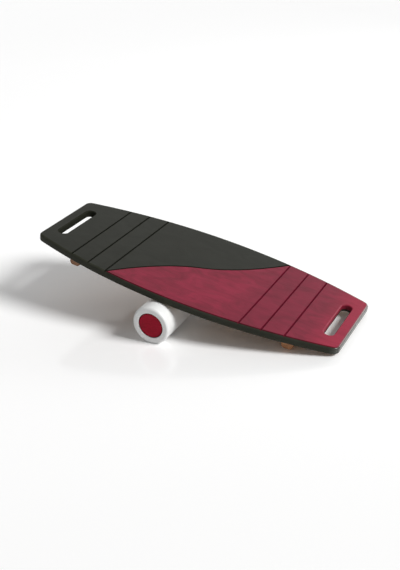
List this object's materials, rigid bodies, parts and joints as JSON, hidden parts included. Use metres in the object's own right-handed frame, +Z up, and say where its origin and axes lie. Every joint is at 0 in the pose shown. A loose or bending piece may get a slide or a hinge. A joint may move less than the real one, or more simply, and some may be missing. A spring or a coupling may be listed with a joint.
{
  "type": "rola bola",
  "caption": "Balance board for circus and gymnastics: a bowed deck with hand slots and stop bars, lying tilted on a loose tubular roller.",
  "frame": {"origin": "on the floor, under the middle of the whole part's box", "axes": "+X towards the low end of the deck, +Y across the deck along the roller, +Z up from the floor"},
  "size_m": [0.7832, 0.41, 0.1929],
  "materials": {
    "deck_finish": "plywood, half painted charcoal and half stained red on top, charcoal edges, bare underneath, satin",
    "stop_wood": "oiled hardwood",
    "screw_steel": "bright zinc plated",
    "tube_plastic": "white, satin",
    "disc_red": "painted deep red, satin",
    "core_wood": "bare plywood"
  },
  "bodies": {
    "roller_core": {"roller_core_disc": "core_wood"},
    "deck": {"deck": "deck_finish", "stop_bar_low": "stop_wood", "stop_bar_high": "stop_wood", "stop_screw_low_1": "screw_steel", "stop_screw_low_2": "screw_steel", "stop_screw_low_3": "screw_steel", "stop_screw_low_4": "screw_steel", "stop_screw_high_1": "screw_steel", "stop_screw_high_2": "screw_steel", "stop_screw_high_3": "screw_steel", "stop_screw_high_4": "screw_steel"},
    "roller": {"roller_tube": "tube_plastic", "roller_end_disc_near": "disc_red", "roller_end_disc_far": "disc_red"}
  },
  "joints": [
    {"name": "deck_travel", "type": "slide", "parent": "roller_core", "child": "deck", "axis": [0.9765, 0, -0.2153], "range_m": [-0.2489, 0.2129]},
    {"name": "roller_spin", "type": "hinge", "parent": "roller_core", "child": "roller", "pos_m": [-0.02981, 0, 0.047], "axis": [0, 1, 0], "range_deg": [-304, 260]}
  ],
  "couplings": [
    {"joint": "roller_spin", "follows": "deck_travel", "rad_per_m": 21.277}
  ]
}
